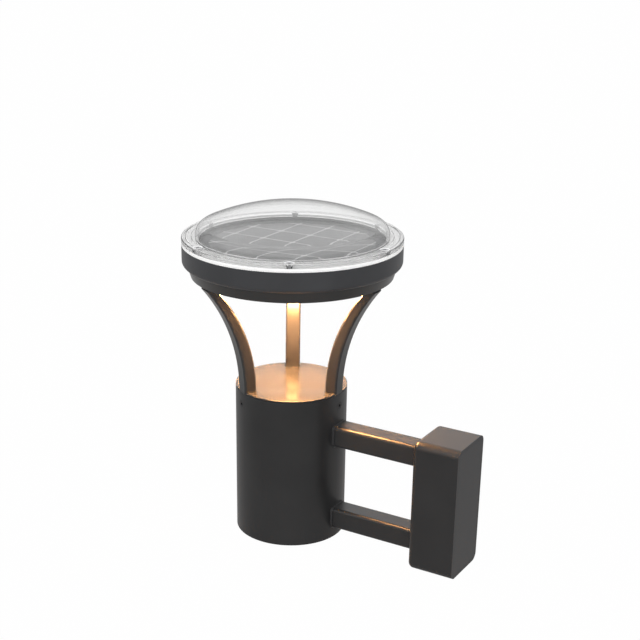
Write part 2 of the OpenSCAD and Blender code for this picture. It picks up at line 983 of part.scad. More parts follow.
module board_screws() {
    color([0.6, 0.6, 0.6])
        at_axis(control_z + control_t) at_turn(-right) for (s = [-1, 1])
            translate([control_r, s * control_screw_pitch / 2, 0])
                round_head_screw(small_d, control_t + small_bite);
}

// Push switch

module at_switch(z) {
    at_axis(z) at_turn(right) translate([switch_r, 0, 0]) children();
}

module switch_outline() {
    difference() {
        union() {
            translate([0, rim_z_low]) square([switch_rim_d / 2, switch_rim_t]);
            translate([0, rim_z_low]) square([switch_hole_d / 2, switch_rim_t + deck_t + switch_len]);
        }
        translate([0, rim_z_low - over]) square([bore_r, bore_top_z - rim_z_low + over]);
        translate([0, chamber_z]) square([foot_bore_r, chamber_top_z - chamber_z]);
    }
}

module switch_body() {
    color([0.1, 0.1, 0.1])
        at_switch(0) rotate_extrude() switch_outline();
}

module switch_nut() {
    color([0.5, 0.5, 0.5])
        difference() {
            at_switch(deck_z) cylinder(h = nut_t, r = nut_d / 2, $fn = 6);
            at_switch(deck_z - over) cylinder(h = nut_t + 2 * over, r = switch_hole_d / 2 + thread_gap);
        }
}

module switch_button() {
    color([0.75, 0.1, 0.08])
        union() {
            at_switch(button_z) cylinder(h = button_len, r = button_d / 2);
            at_switch(button_foot_z) cylinder(h = button_foot_t, r = button_foot_d / 2);
        }
}

// Tube

module foot_notches(z, h, gap) {
    at_axis(z) round_strut_turns()
        translate([strut_in_foot_r - gap, -strut_w / 2 - gap, 0]) cube([tube_r, strut_w + 2 * gap, h]);
}

module cap_disc() {
    color([0.3, 0.29, 0.28])
        difference() {
            union() {
                at_axis(rim_z) cylinder(h = cap_t, r = tube_r - seat_gap);
                at_axis(rim_z - cap_skirt_h) ring(plug_r, plug_r - skirt_wall, cap_skirt_h + over);
            }
            foot_notches(rim_z - cap_skirt_h - over, cap_skirt_h + cap_t + 2 * over, hole_gap);
        }
}

module base_tube() {
    color([0.2, 0.2, 0.21])
        difference() {
            at_axis(tube_z) ring(tube_r, tube_in_r, tube_h);
            at_axis(foot_screw_z) round_strut_turns() translate([tube_r, 0, 0])
                rotate([0, right, 0]) sunk_hole(screw_d, tube_wall);
            for (z = arm_zs) translate([0, -axis_to_wall, z]) rotate([-right, 0, 0])
                cylinder(h = tube_r + over, r = bolt_d / 2 + hole_gap);
        }
}

module bottom_cap() {
    color([0.12, 0.12, 0.13])
        difference() {
            union() {
                at_axis(tube_z + floor_recess) cylinder(h = floor_t, r = plug_r);
                at_axis(tube_z + floor_recess) ring(plug_r, plug_r - skirt_wall, floor_t + floor_skirt_h);
            }
            at_axis(tube_z) cylinder(h = floor_t + 2 * over, r = drain_d / 2);
        }
}

// Bracket

module arm(z) {
    len = box_front_y - pad_face_y;
    bite = bolt_bite + blind_extra;
    color([0.2, 0.2, 0.21])
        difference() {
            translate([0, box_front_y, z]) rotate([right, 0, 0])
                linear_extrude(len) rounded_outline(arm_w, arm_h, arm_edge);
            translate([0, box_front_y, z]) rotate([-right, 0, 0]) thread_hole(bolt_d, bite);
            translate([0, pad_face_y, z]) rotate([right, 0, 0]) thread_hole(bolt_d, bite);
        }
}

module upper_arm() {
    arm(arm_zs[0]);
}

module lower_arm() {
    arm(arm_zs[1]);
}

module pad(z) {
    color([0.28, 0.28, 0.29])
        difference() {
            translate([0, pad_face_y, z]) rotate([right, 0, 0])
                linear_extrude(pad_t + tube_wall)
                    rounded_outline(arm_w + 2 * pad_lip, arm_h + 2 * pad_lip, arm_edge + pad_lip);
            translate([0, -axis_to_wall, z])
                cylinder(h = 2 * arm_h, r = tube_r + seat_gap, center = true, $fn = 8 * $fn);
            translate([0, -axis_to_wall, z]) rotate([-right, 0, 0])
                cylinder(h = tube_d, r = bolt_d / 2 + hole_gap);
        }
}

module upper_pad() {
    pad(arm_zs[0]);
}

module lower_pad() {
    pad(arm_zs[1]);
}

module tube_washers() {
    color([0.5, 0.5, 0.5])
        for (z = arm_zs) difference() {
            intersection() {
                translate([-washer_side / 2, washer_flat_r - axis_to_wall, z - washer_side / 2])
                    cube([washer_side, tube_r, washer_side]);
                translate([0, -axis_to_wall, z])
                    cylinder(h = 2 * washer_side, r = tube_in_r - seat_gap, center = true, $fn = 8 * $fn);
            }
            translate([0, -axis_to_wall, z]) rotate([-right, 0, 0])
                cylinder(h = tube_d, r = bolt_d / 2 + hole_gap);
        }
}

module tube_bolts() {
    color([0.55, 0.55, 0.56])
        for (z = arm_zs) translate([0, washer_flat_r - axis_to_wall, z]) rotate([right, 0, 0])
            round_head_screw(bolt_d, tube_r + pad_t - washer_flat_r + bolt_bite);
}

module box_washers() {
    color([0.5, 0.5, 0.5])
        for (z = arm_zs) translate([0, box_in_y, z]) rotate([-right, 0, 0])
            ring(washer_d / 2, bolt_d / 2 + hole_gap, washer_t);
}

module box_bolts() {
    color([0.55, 0.55, 0.56])
        for (z = arm_zs) translate([0, box_in_y + washer_t, z]) rotate([-right, 0, 0])
            round_head_screw(bolt_d, box_wall + washer_t + bolt_bite);
}

// Wall box

module wall_box() {
    color([0.2, 0.2, 0.21])
        difference() {
            rotate([right, 0, 0]) rounded_slab(box_w, box_h, box_depth, box_corner, box_edge);
            translate([0, over, 0]) rotate([right, 0, 0])
                linear_extrude(box_depth - box_wall + over)
                    rounded_outline(box_w - 2 * box_wall, box_h - 2 * box_wall, box_corner - box_wall);
            for (z = arm_zs) translate([0, box_front_y - over, z]) rotate([-right, 0, 0])
                cylinder(h = box_wall + 2 * over, r = bolt_d / 2 + hole_gap);
            for (s = [-1, 1]) translate([s * box_screw_pitch / 2, -box_screw_in, -box_h / 2 - over])
                cylinder(h = box_wall + 2 * over, r = screw_d / 2 + hole_gap);
        }
}

module wall_plate() {
    tab_z = plate_h / 2 - plate_t;
    color([0.27, 0.27, 0.28])
        difference() {
            union() {
                rotate([right, 0, 0]) linear_extrude(plate_t)
                    rounded_outline(plate_w, plate_h, plate_corner);
                for (s = [0, 1]) mirror([0, 0, s])
                    translate([-tab_w / 2, -tab_depth, tab_z]) cube([tab_w, tab_depth, plate_t]);
            }
            for (s = [-1, 1]) translate([0, -plate_t - over, s * mark_z])
                rotate([-right, 0, 0]) cylinder(h = plate_t - mark_left + over, r = mark_d / 2);
            for (s = [-1, 1]) translate([s * box_screw_pitch / 2, -box_screw_in, -plate_h / 2 - over])
                cylinder(h = plate_t + 2 * over, r = screw_d / 2 + thread_gap);
        }
}

module wall_box_screws() {
    color([0.3, 0.3, 0.31])
        for (s = [-1, 1]) translate([s * box_screw_pitch / 2, -box_screw_in, -box_h / 2]) mirror([0, 0, 1])
            round_head_screw(screw_d, box_wall + screw_bite);
}

clear_cover();
cover_gasket();
cover_screws();
solar_panel();
solar_cells();
head_housing();
strut_frame();
frame_screws();
foot_screws();
lens();
lens_seal();
lens_spacer();
led_board();
led_chips();
led_board_screws();
battery_tray();
battery_cells();
tray_screws();
control_board();
board_parts();
board_screws();
switch_body();
switch_nut();
switch_button();
cap_disc();
base_tube();
bottom_cap();
upper_arm();
lower_arm();
upper_pad();
lower_pad();
tube_bolts();
tube_washers();
box_bolts();
box_washers();
wall_box();
wall_plate();
wall_box_screws();
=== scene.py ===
# %% [markdown]
# # A solar bollard light on a wall bracket
#
# The light is a short dark tube with a round head that stands above it on
# three curved struts. Under the clear dome of the head lie solar cells, and a
# warm lens on the head's underside shines down on the disc that closes the
# tube. Two arms tie the tube to a slim box on the wall.
#
# The solid parts come ready made from the CAD model. This lesson sets up the
# camera and the studio, gives every solid its finish, and makes the
# pieces whose looks a plain solid can't carry, such as the clear cover.

# %% Load the solid model
import math

import bmesh
import bpy
import numpy as np
from mathutils import Matrix, Vector


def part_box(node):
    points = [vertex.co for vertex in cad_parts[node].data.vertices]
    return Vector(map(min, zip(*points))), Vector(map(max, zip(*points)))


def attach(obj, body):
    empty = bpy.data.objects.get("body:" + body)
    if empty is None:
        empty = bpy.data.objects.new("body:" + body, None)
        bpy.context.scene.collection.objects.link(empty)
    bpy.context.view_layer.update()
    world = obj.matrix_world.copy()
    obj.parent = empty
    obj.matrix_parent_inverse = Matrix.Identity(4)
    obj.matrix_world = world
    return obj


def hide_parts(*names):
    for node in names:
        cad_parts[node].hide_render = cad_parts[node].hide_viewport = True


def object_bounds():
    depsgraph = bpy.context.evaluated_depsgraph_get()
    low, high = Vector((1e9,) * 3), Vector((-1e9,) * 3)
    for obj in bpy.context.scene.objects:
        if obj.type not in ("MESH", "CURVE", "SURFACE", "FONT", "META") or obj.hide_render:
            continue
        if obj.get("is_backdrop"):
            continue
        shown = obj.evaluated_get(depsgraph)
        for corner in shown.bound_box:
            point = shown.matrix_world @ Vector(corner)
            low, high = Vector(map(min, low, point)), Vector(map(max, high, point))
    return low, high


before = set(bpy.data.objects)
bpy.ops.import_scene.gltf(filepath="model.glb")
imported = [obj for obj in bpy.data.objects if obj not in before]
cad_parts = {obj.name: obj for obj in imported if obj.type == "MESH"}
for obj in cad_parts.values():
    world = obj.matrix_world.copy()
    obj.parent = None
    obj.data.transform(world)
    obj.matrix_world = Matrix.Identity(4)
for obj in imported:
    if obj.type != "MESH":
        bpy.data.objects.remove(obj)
cad_low, cad_high = (list(corner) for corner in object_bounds())
mm = 0.001
print("the solids fill", [round(high - low, 4) for low, high in zip(cad_low, cad_high)], "m")

# %% [markdown]
# ## Sizes that the pieces share
#
# Everything round in this light turns about the tube's upright axis. The axis
# and the heights of the head's layers could be typed in as numbers, but they
# are read from the boxes of the solids instead, so that a made piece always
# sits on the solid that carries it.

# %% Find the axis and the heights
tube_low, tube_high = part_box("base_tube")
axis_y = (tube_low.y + tube_high.y) / 2
cover_low, cover_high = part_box("clear_cover")
flange_r = (cover_high.x - cover_low.x) / 2
flange_z = cover_low.z
seal_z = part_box("cover_gasket")[0].z
print("axis at y =", round(axis_y, 4), "flange radius", round(flange_r, 4), "m")

# %% [markdown]
# ## The camera
#
# The photograph looks down on the light by 23 degrees, from the wall's side.
# A camera could be turned by hand until the picture looks alike. Here its
# place and its lens were found by fitting the head's ellipses and the straight
# edges of the arms and the box, because an edge then lies within a pixel of
# the photograph's. The upright edges of the object lean together towards a
# point below the picture, but not evenly about its middle, so the picture is a
# part cut out of a larger one. The camera's shift says by how much. Its axes
# are written as the columns of its matrix: right, up, and backwards.

# %% Work out the camera's axes
def camera_axes(turn, tilt):
    """Right, up and forward of a level camera turned by 'turn' from +Y towards
    -X and tilted down by 'tilt', both in degrees. Up is square to the others."""
    a, b = math.radians(turn), math.radians(tilt)
    forward = Vector((-math.sin(a) * math.cos(b), math.cos(a) * math.cos(b), -math.sin(b)))
    right = Vector((math.cos(a), math.sin(a), 0))
    return right, right.cross(forward), forward


camera_turn, camera_tilt = 122.467, 23.261
right, up, forward = camera_axes(camera_turn, camera_tilt)
print("the camera looks along", [round(v, 3) for v in forward])

# %% Place the camera
def add_object(name, data):
    """A new object in the scene that carries a camera, a lamp or a mesh."""
    thing = bpy.data.objects.new(name, data)
    bpy.context.scene.collection.objects.link(thing)
    return thing


eye_x, eye_y, eye_z = 1.06256, 0.650019, 0.632798  # from the tube's axis and its foot
picture_side = 640  # in pixels, as the next three values are
focal_length = 1301.204
centre_x, centre_y = 269.98, 436.86
film_width = 36  # in mm, only to turn pixels into Blender's focal length

eye = Vector((eye_x, eye_y + axis_y, eye_z + tube_low.z))
lens_data = bpy.data.cameras.new("camera")
lens_data.sensor_width = film_width
lens_data.lens = focal_length / picture_side * film_width
lens_data.shift_x = 0.5 - centre_x / picture_side
lens_data.shift_y = centre_y / picture_side - 0.5
camera = add_object("camera", lens_data)
camera_turned = Matrix((right, up, -forward)).transposed().to_4x4()
camera.matrix_world = Matrix.Translation(eye) @ camera_turned
bpy.context.scene.camera = camera
bpy.context.scene.view_settings.view_transform = "Standard"
print("camera at", [round(v, 3) for v in eye])

# %% [markdown]
# ## The studio
#
# The photograph has a pure white background and soft light from all sides. A
# plain white world gives both, but then the upright sides of the dark coat
# mirror it and gleam. So the rays are sorted by kind. The camera, and rays
# through clear plastic, see plain white. All others see a studio that is
# bright above and dim below the horizon, and a mirrored ray gets a fifth of
# the plain white mixed into it.

# %% Define helpers for shader trees
def link(tree, source, output, target, into):
    """Join one socket to another, each given by its node and its name."""
    tree.links.new(source.outputs[output], target.inputs[into])


def math_step(tree, operation, first, second):
    """A Math node fed by two inputs. Each is a plain number, or a node and the
    name of its output."""
    step = tree.nodes.new("ShaderNodeMath")
    step.operation = operation
    for place, value in enumerate((first, second)):
        if isinstance(value, tuple):
            link(tree, *value, step, place)
        else:
            step.inputs[place].default_value = value
    return step


def mix_shaders(tree, share, first, second):
    """A shader that is the first at a share of 0 and the second at 1."""
    both = tree.nodes.new("ShaderNodeMixShader")
    for place, source in enumerate((share, first, second)):
        link(tree, source, 0, both, place)
    return both


print("helpers for shader trees are ready")

# %% Sort the rays by kind
mirror_white = 0.2

world = bpy.data.worlds.new("white studio")
bpy.context.scene.world = world
world.use_nodes = True
tree = world.node_tree
tree.nodes.clear()
ray = tree.nodes.new("ShaderNodeLightPath")
mirrored = math_step(tree, "MULTIPLY", (ray, "Is Glossy Ray"), mirror_white)
seen = math_step(tree, "MAXIMUM", (ray, "Is Camera Ray"), (mirrored, 0))
seen_too = math_step(tree, "MAXIMUM", (seen, 0), (ray, "Is Transmission Ray"))
print("a mirrored ray sees", mirror_white, "of the plain white")

# %% Shade the sky
dim_below, bright_above = -0.05, 0.42  # heights on a sphere of radius 1
dim_light, bright_light = 0.42, 1.38

spot = tree.nodes.new("ShaderNodeTexCoord")
split = tree.nodes.new("ShaderNodeSeparateXYZ")
link(tree, spot, "Generated", split, 0)
sky = tree.nodes.new("ShaderNodeMapRange")
sky.interpolation_type = "SMOOTHSTEP"
sky.inputs["From Min"].default_value = dim_below
sky.inputs["From Max"].default_value = bright_above
sky.inputs["To Min"].default_value = dim_light
sky.inputs["To Max"].default_value = bright_light
link(tree, split, "Z", sky, "Value")
soft = tree.nodes.new("ShaderNodeBackground")
soft.inputs["Color"].default_value = (1, 1, 1, 1)
link(tree, sky, 0, soft, "Strength")
plain = tree.nodes.new("ShaderNodeBackground")
plain.inputs["Color"].default_value = (1, 1, 1, 1)
plain.inputs["Strength"].default_value = 1.0
world_end = tree.nodes.new("ShaderNodeOutputWorld")
link(tree, mix_shaders(tree, seen_too, soft, plain), 0, world_end, 0)
print("the world's tree has", len(tree.nodes), "nodes")

# %% [markdown]
# ## The lamps
#
# In the photograph the round forms have a lighter and a darker side. The world
# alone would light them evenly, so three large square lamps stand round the
# light. Large lamps were chosen because small ones would throw hard shadows.
# The front lamp is hidden from the camera and from mirrored rays: it lifts the
# pale pieces, and the dark coat doesn't show its square shape.

# %% Hang the lamps
middle = (0, axis_y, (cad_low[2] + cad_high[2]) / 2)


def soft_lamp(name, place, side, power):
    """A square lamp of the given side in metres and power in watts, aimed from
    'place' at the middle of the light."""
    data = bpy.data.lights.new(name, "AREA")
    data.shape = "SQUARE"
    data.size = side
    data.energy = power
    lamp = add_object(name, data)
    lamp.location = place
    lamp.rotation_euler = (Vector(middle) - Vector(place)).to_track_quat("-Z", "Y").to_euler()
    return lamp


soft_lamp("key lamp", (-0.6, 1.3, 1.4), side=1.2, power=1.3)
soft_lamp("left lamp", (1.3, -1.2, 0.9), side=1.2, power=1.2)
front_lamp = soft_lamp("front lamp", (1.4, 0.5, 0.35), side=1.5, power=8)
front_lamp.visible_camera = False
front_lamp.visible_glossy = False
print(len(bpy.data.lights), "lamps are aimed at", [round(v, 3) for v in middle])

# %% [markdown]
# ## The floor
#
# The light hangs on a wall, so the floor lies well below it. A white floor
# would do for the background, but the upright sides of the tube and the head
# mirror the floor, and in the photograph they mirror something dim. So the
# floor itself is grey. Its material gives the camera, and rays through clear
# plastic, a white glow with a hundredth of the lit floor mixed in, and all
# other rays the grey floor, which keeps the object's shadow.
#
# Like every new surface in this lesson, the floor is a grid of points worked
# out with numpy, with one face between each four neighbours.

# %% Lay the floor
def quads(nu, nv, close_u=False, close_v=False):
    """Corner numbers of the faces between the points of an nu by nv grid, whose
    rows run along v. A closed side joins its last row to its first."""
    iu = np.arange(nu if close_u else nu - 1)[:, None]
    iv = np.arange(nv if close_v else nv - 1)[None, :]
    ju, jv = (iu + 1) % nu, (iv + 1) % nv
    corners = [iu * nv + iv, ju * nv + iv, ju * nv + jv, iu * nv + jv]
    return np.stack(corners, -1).reshape(-1, 4)


def surface(name, points, faces, smooth=True):
    """A mesh object from an array of points and an array of faces."""
    mesh = bpy.data.meshes.new(name)
    rows = np.asarray(points, float).reshape(-1, 3)
    mesh.from_pydata(rows.tolist(), [], np.asarray(faces).tolist())
    mesh.validate()
    if smooth:
        mesh.shade_smooth()
    else:
        mesh.shade_flat()
    return add_object(name, mesh)


reach = 60.0
floor_z = -0.62
u, v = np.meshgrid([-reach, reach], [-reach, reach], indexing="ij")
floor = surface("floor", np.stack([u, v, np.full_like(u, floor_z)], -1), quads(2, 2))
floor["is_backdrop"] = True
print("floor laid at z =", floor_z, "m")

# %% Paint the floor
glow_share = 0.99

paint = bpy.data.materials.new("floor white")
paint.use_nodes = True
tree = paint.node_tree
lit_floor = tree.nodes["Principled BSDF"]
lit_floor.inputs["Base Color"].default_value = (0.3, 0.3, 0.3, 1)
lit_floor.inputs["Roughness"].default_value = 0.9
glow = tree.nodes.new("ShaderNodeEmission")
glow.inputs["Strength"].default_value = 1.0
ray = tree.nodes.new("ShaderNodeLightPath")
clear_ray = math_step(tree, "MAXIMUM", (ray, "Is Camera Ray"), (ray, "Is Transmission Ray"))
share = math_step(tree, "MULTIPLY", (clear_ray, 0), glow_share)
floor_look = mix_shaders(tree, share, lit_floor, glow)
link(tree, floor_look, 0, tree.nodes["Material Output"], "Surface")
floor.data.materials.append(paint)
print("the camera sees", glow_share, "of the floor's white glow")

# %% [markdown]
# ## A helper for finishes
#
# No real surface has one flat colour. A picture of a surface could be laid
# over each piece, but it would need unwrapping and show its seams. Here a
# finish is a Principled shader with patterns that are worked out in space: its
# colour drifts slightly from place to place, its roughness varies with it, and
# a fine bump breaks up the highlight. All patterns read Object coordinates, so
# they stay on the piece in every view.

# %% Define the patterns
def noise(tree, scale, detail=2.0):
    """A cloudy pattern on Object coordinates, with clouds of 1 / 'scale' m."""
    where = tree.nodes.new("ShaderNodeTexCoord")
    pattern = tree.nodes.new("ShaderNodeTexNoise")
    pattern.inputs["Scale"].default_value = scale
    pattern.inputs["Detail"].default_value = detail
    link(tree, where, "Object", pattern, "Vector")
    return pattern


def raise_surface(tree, shader, pattern, height):
    """Let a pattern bump the surface by up to 'height' metres."""
    bump = tree.nodes.new("ShaderNodeBump")
    bump.inputs["Strength"].default_value = 1.0
    bump.inputs["Distance"].default_value = height
    link(tree, pattern, 0, bump, "Height")
    link(tree, bump, 0, shader, "Normal")


def colour_ramp(tree, source, output, start, end):
    """Turn a value into a colour. 'start' and 'end' are each a position and
    the colour there, and between them the colour changes evenly."""
    ramp = tree.nodes.new("ShaderNodeValToRGB")
    for stop, (position, colour) in zip(ramp.color_ramp.elements, (start, end)):
        stop.position = position
        stop.color = (*colour, 1)
    link(tree, source, output, ramp, 0)
    return ramp


print("patterns are ready")

# %% Define the finish
def finish(name, colour, rough, drift=0.06, drift_scale=30.0, grain=0.0, grain_scale=1500.0,
           rough_drift=0.05, metal=0.0, ior=1.5):
    """A material whose colour is 'colour' times 1 +- 'drift' in clouds of
    1 / 'drift_scale' metres, whose roughness is 'rough' +- 'rough_drift' in the
    same clouds, and whose grain is a bump of 'grain' metres."""
    mat = bpy.data.materials.new(name)
    mat.use_nodes = True
    tree = mat.node_tree
    shader = tree.nodes["Principled BSDF"]
    shader.inputs["Metallic"].default_value = metal
    shader.inputs["IOR"].default_value = ior
    cloud = noise(tree, drift_scale, detail=4.0)
    darker = [c * (1 - drift) for c in colour]
    lighter = [min(1, c * (1 + drift)) for c in colour]
    tint = colour_ramp(tree, cloud, 0, (0.3, darker), (0.7, lighter))
    link(tree, tint, 0, shader, "Base Color")
    gloss = tree.nodes.new("ShaderNodeMapRange")
    gloss.inputs["To Min"].default_value = max(0.02, rough - rough_drift)
    gloss.inputs["To Max"].default_value = rough + rough_drift
    link(tree, cloud, 0, gloss, "Value")
    link(tree, gloss, 0, shader, "Roughness")
    if grain:
        raise_surface(tree, shader, noise(tree, grain_scale), grain)
    return mat


print("the finish helper is ready")

# %% [markdown]
# ## The dark powder coat
#
# The metal parts of the light wear a satin charcoal powder coat. A matt black
# would look like a hole in the picture, and a glossy one would mirror the
# studio sharply. The coat is therefore nearly black with a middling roughness
# and a fine grain, and it shows the studio as a soft grey sheen where it turns
# away. The head is a little paler than the tube, as in the photograph. The
# struts stand in the lamp's warm light and gleam, so they get a thin clear
# layer on top.

# %% Coat the dark metal
def dress(node, mat):
    """Give a CAD node's object one material in all its slots."""
    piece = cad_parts[node]
    if not piece.data.materials:
        piece.data.materials.append(mat)
    for i in range(len(piece.data.materials)):
        piece.data.materials[i] = mat


charcoal = (0.0175, 0.0175, 0.018)
head_grey = (0.034, 0.035, 0.038)
strut_black = (0.0155, 0.0155, 0.0155)
powder = dict(drift=0.12, drift_scale=22, grain_scale=1400)

coat = finish("charcoal powder coat", charcoal, 0.32, grain=0.00002, ior=1.43, **powder)
tube_and_bracket = ("base_tube", "upper_arm", "lower_arm", "wall_box")
for node in tube_and_bracket:
    dress(node, coat)
head_coat = finish("head powder coat", head_grey, 0.36, grain=0.00002, ior=1.45, **powder)
dress("head_housing", head_coat)
strut_coat = finish("strut powder coat", strut_black, 0.30, grain=0.00001, ior=1.45, **powder)
strut_shader = strut_coat.node_tree.nodes["Principled BSDF"]
strut_shader.inputs["Coat Weight"].default_value = 0.4
strut_shader.inputs["Coat Roughness"].default_value = 0.12
dress("strut_frame", strut_coat)
print("powder coat on", len(tube_and_bracket) + 2, "solids")

# %% [markdown]
# ## Pads, plate and dark screws
#
# A thin pad lies between each arm and the tube, a plate closes the back of the
# wall box, and small blackened screws hold the struts and the box. They could
# all share the coat above. Each kind has a finish of its own, because on such
# a light they are other materials, and their edges then stand out slightly.
# The pads' paler grey is partly painted highlight: it stands in for the sheen
# on their rounded rims.

# %% Finish the pads, the plate and the dark screws
# The pads' paler grey partly paints the highlight on their rims.
pad_coat_painted_sheen = finish("pad coat with painted sheen", (0.03, 0.03, 0.031), 0.3, drift=0.1, grain=0.00002)
pads = ("upper_pad", "lower_pad")
for node in pads:
    dress(node, pad_coat_painted_sheen)
plate_coat = finish("plate coat", (0.024, 0.024, 0.025), 0.42, drift=0.1, grain=0.00002)
dress("wall_plate", plate_coat)
dark_steel = finish("blackened screw", (0.02, 0.02, 0.021), 0.3, drift=0.1, metal=0.6)
dark_screws = ("foot_screws", "frame_screws", "wall_box_screws")
for node in dark_screws:
    dress(node, dark_steel)
print(len(pads), "pads, 1 plate and", len(dark_screws), "sets of screws finished")

# %% [markdown]
# ## The lit disc
#
# The disc on top of the tube catches the lens's light. Its coat is about as
# dark as the tube's, and looks pale only because the lens above it is so
# bright. It is much smoother, so the strut behind it shows in it as a bright
# streak. The ready solid has a knife-sharp rim, which catches no light. A real
# rim is slightly rounded and draws a thin bright line. A disc with such a rim
# could be made from nothing, but a copy of the solid keeps its outline and its
# size, and only needs a bevel.

# %% Define a rounded copy of a solid
crease = math.radians(32)  # edges sharper than this stay sharp when shaded


def rounded_copy(name, node, width):
    """A copy of a CAD solid whose sharp edges are rounded over 'width'. The
    copy's loose triangles are joined first, so that the bevel finds edges."""
    same_place, nearly_flat, sharp_turn = 1e-6, math.radians(0.5), math.radians(40)
    work = bmesh.new()
    work.from_mesh(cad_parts[node].data)
    bmesh.ops.remove_doubles(work, verts=work.verts, dist=same_place)
    bmesh.ops.dissolve_limit(work, angle_limit=nearly_flat, verts=work.verts, edges=work.edges)
    sharp = [edge for edge in work.edges
             if edge.is_manifold and edge.calc_face_angle() > sharp_turn]
    bmesh.ops.bevel(work, geom=sharp, offset=width, segments=3, profile=0.5,
                    affect="EDGES", clamp_overlap=True)
    bmesh.ops.triangulate(work, faces=work.faces)
    mesh = bpy.data.meshes.new(name)
    work.to_mesh(mesh)
    work.free()
    mesh.shade_smooth()
    mesh.set_sharp_from_angle(angle=crease)
    return add_object(name, mesh)


print("edges sharper than", round(math.degrees(crease)), "degrees stay sharp")

# %% Make the disc
rim_round = 0.35 * mm
disc_coat = finish("satin disc coat", (0.0198, 0.0198, 0.0198), 0.2, drift=0.02,
                   drift_scale=60, rough_drift=0.02)
lit_disc = rounded_copy("lit_disc", "cap_disc", rim_round)
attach(lit_disc, "body")
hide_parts("cap_disc")
lit_disc.data.materials.append(disc_coat)

# %% [markdown]
# ## The lens and the light inside
#
# The lens is a milky sheet with light chips behind it. Lamps could be put
# behind a clear sheet, but their light would have to find its way through it,
# and the render would stay noisy for long. A milky sheet looks evenly bright
# from outside, so here the sheet itself gives off the warm light. It is the
# object's own lamp, and it alone throws the warm light on struts and disc.

# %% Light the lens
def glowing(name, colour, strength):
    """A milky finish that also gives off light of the given colour."""
    mat = finish(name, tuple(0.9 * c for c in colour), 0.4, drift=0.02)
    shader = mat.node_tree.nodes["Principled BSDF"]
    shader.inputs["Emission Color"].default_value = (*colour, 1)
    shader.inputs["Emission Strength"].default_value = strength
    return mat


warm_light, chip_light = (1.0, 0.47, 0.17), (1.0, 0.8, 0.5)
dress("lens", glowing("glowing lens", warm_light, 200.0))
dress("led_chips", glowing("light chip", chip_light, 6.0))
lens_low, lens_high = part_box("lens")
print("glowing lens,", round((lens_high.x - lens_low.x) / mm, 1), "mm across")

# %% [markdown]
# ## The pieces inside
#
# Hardly any of these shows from outside. They could share one grey, but each
# keeps the finish of the real thing, so that the light also looks right when
# it is taken apart: green board, blue battery wrap, bare steel, black plastic.

# %% Finish the inner pieces
steel = finish("bare steel", (0.55, 0.55, 0.56), 0.28, drift=0.05, drift_scale=200, metal=1.0)
steel_nodes = ("led_board_screws", "tray_screws", "board_screws", "switch_nut",
               "tube_bolts", "tube_washers", "box_bolts", "box_washers")
for node in steel_nodes:
    dress(node, steel)
black_plastic = finish("black plastic", (0.02, 0.02, 0.022), 0.45, grain=0.00001)
plastic_nodes = ("battery_tray", "switch_body", "bottom_cap")
for node in plastic_nodes:
    dress(node, black_plastic)
green_board = finish("green board", (0.02, 0.13, 0.05), 0.35, drift=0.2, drift_scale=300)
dress("control_board", green_board)
dress("lens_seal", finish("black rubber", (0.015, 0.015, 0.015), 0.6))
dress("lens_spacer", finish("white plastic", (0.8, 0.8, 0.79), 0.5))
dress("led_board", finish("white board", (0.75, 0.76, 0.74), 0.4))
dress("battery_cells", finish("battery wrap", (0.03, 0.16, 0.36), 0.25))
dress("board_parts", finish("board parts", (0.03, 0.03, 0.03), 0.4))
dress("switch_button", finish("red button", (0.45, 0.02, 0.015), 0.25))
print(len(steel_nodes), "steel and", len(plastic_nodes), "black plastic solids finished")

# %% [markdown]
# ## The solar panel
#
# The cells are plates with cut corners, laid on a white sheet and sealed under
# resin, so thin white lines and small white diamonds show between them. Their
# mid grey is painted reflection: it stands in for the studio's sheen in the
# dome over cells that are darker. In the solid model the plates stand 0.3 mm
# above the sheet, and seen from the side they would hide the gaps. The made sheet therefore comes
# up
# between the plates, as the resin does, and leaves only their faces free. It
# is a short outline carried once round the axis, as on a lathe.

# %% Define the lathe
def lathe(name, outline, turns=240, wave=None):
    """Carry a closed outline of (radius, height) points once round the axis.
    'wave', if given, is a function of the turn that returns how far the points
    are pushed inwards there, times the outline's third column."""
    outline = np.asarray(outline, float)
    r, z = outline[:, 0], outline[:, 1]
    a = np.linspace(0, 2 * np.pi, turns, endpoint=False)[:, None]
    if wave is not None:
        r = r - wave(a) * outline[:, 2]
    points = np.stack([r * np.cos(a), r * np.sin(a) + axis_y, z + 0 * a * r], -1)
    piece = surface(name, points, quads(turns, len(outline), close_u=True, close_v=True))
    piece.data.set_sharp_from_angle(angle=crease)
    return piece


pole_r = 0.05 * mm  # a round piece closes on this small radius at the axis
print("the lathe turns about y =", round(axis_y, 4), "m")

# %% Shape the white sheet
cell_low, cell_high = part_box("solar_cells")
sheet_low, sheet_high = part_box("solar_panel")
sheet_r = (sheet_high.x - sheet_low.x) / 2
sheet_top = cell_high.z - 0.04 * mm
sheet_outline = [(pole_r, sheet_low.z), (sheet_r, sheet_low.z),
                 (sheet_r, sheet_top), (pole_r, sheet_top)]
panel_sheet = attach(lathe("panel_sheet", sheet_outline), "body")
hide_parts("solar_panel")
sheet_white = finish("white panel sheet", (0.9, 0.9, 0.9), 0.4, drift=0.02)
panel_sheet.data.materials.append(sheet_white)
# The cells' mid grey is painted reflection: the studio's sheen in the dome over darker cells.
dress("solar_cells", finish("solar cell", (0.31, 0.313, 0.317), 0.3, drift=0.08, drift_scale=18))
print("sheet radius", round(sheet_r, 4), "m")
